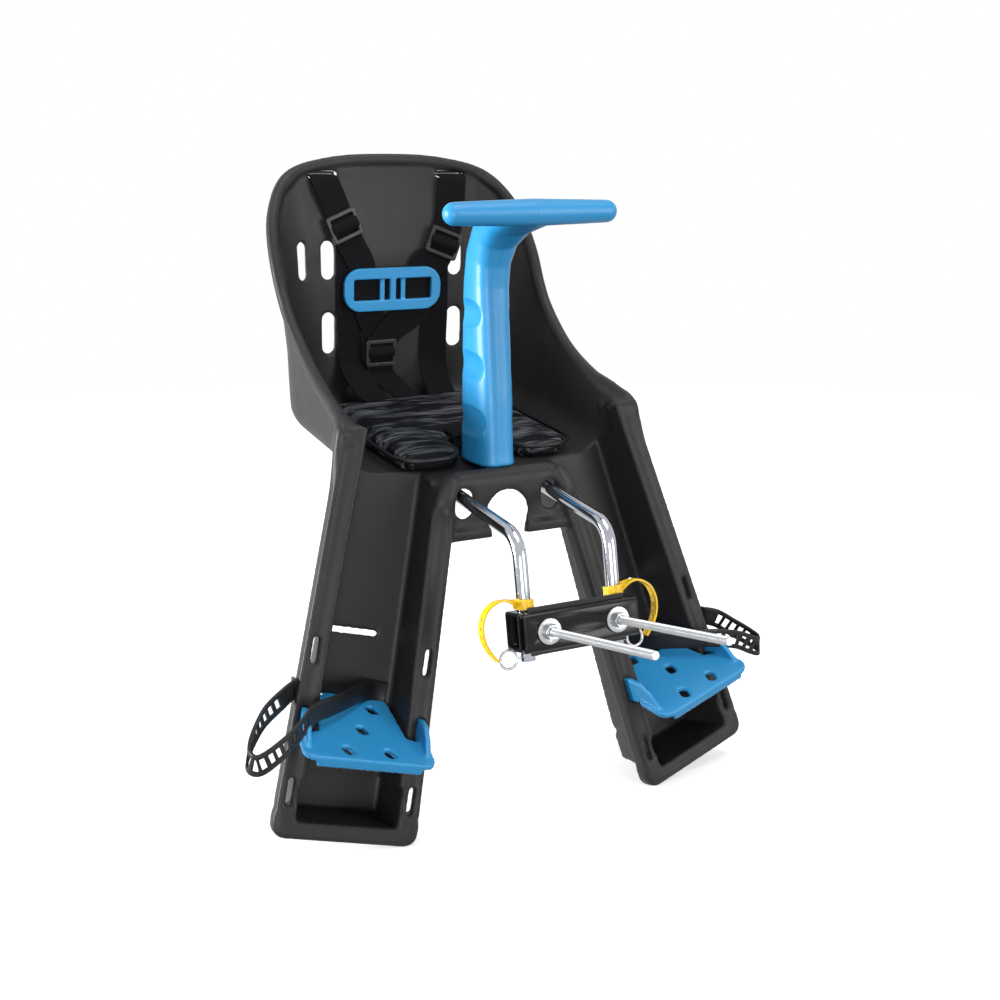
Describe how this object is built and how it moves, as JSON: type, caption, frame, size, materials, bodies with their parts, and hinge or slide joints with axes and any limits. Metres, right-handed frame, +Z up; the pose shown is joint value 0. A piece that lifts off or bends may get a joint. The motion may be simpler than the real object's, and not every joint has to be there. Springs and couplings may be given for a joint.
{
  "type": "front-mounted child bike seat",
  "caption": "Front-mounted child bicycle seat: moulded bucket shell with leg troughs, T handle, harness, footrests, carrier bar and head tube clamp.",
  "frame": {"origin": "centre of the clamp's back jaw face, midway between the two clamp bolts", "axes": "+Z up, the seat faces -Y, +X to the right when the seat is looked at from the front"},
  "size_m": [0.4213, 0.4647, 0.4842],
  "materials": {
    "shell": "moulded dark warm grey plastic, fine satin grain",
    "handle": "moulded blue plastic, satin gloss",
    "footrest": "moulded blue plastic, satin",
    "bar_steel": "bright plated steel bar",
    "bracket": "gloss black paint",
    "liner": "black rubber",
    "fasteners": "zinc plated steel",
    "safety_strap": "yellow flexible plastic",
    "foot_strap": "black flexible plastic",
    "webbing": "woven black webbing",
    "adjuster": "moulded dark grey plastic",
    "chest_plate": "moulded blue plastic",
    "pad": "black printed pad cover with piping"
  },
  "bodies": {
    "seat": {"seat_shell": "shell", "handle_left": "handle", "handle_right": "handle", "handle_plate": "fasteners", "handle_screw": "fasteners", "footrest_left": "footrest", "footrest_right": "footrest", "foot_strap_left": "foot_strap", "foot_strap_right": "foot_strap", "carrier_bar": "bar_steel", "bar_clamp_front": "fasteners", "bar_clamp_rear": "fasteners", "bar_screws": "fasteners", "clamp_tube": "bracket", "jaw_liner": "liner", "clamp_bolts": "fasteners", "safety_clip_left": "fasteners", "safety_clip_right": "fasteners", "safety_strap_left": "safety_strap", "safety_strap_right": "safety_strap", "shoulder_strap_left": "webbing", "shoulder_strap_right": "webbing", "lap_strap_left": "webbing", "lap_strap_right": "webbing", "crotch_strap": "webbing", "adjuster_left": "adjuster", "adjuster_right": "adjuster", "adjuster_crotch": "adjuster", "strap_stops": "adjuster", "chest_plate": "chest_plate", "seat_pad": "pad"},
    "jaw": {"front_jaw": "bracket", "clamp_washers": "fasteners", "clamp_nuts": "fasteners"}
  },
  "joints": [
    {"name": "jaw_slide", "type": "slide", "parent": "seat", "child": "jaw", "axis": [0, -0.9833, 0.1822], "range_m": [0, 0.1]}
  ]
}
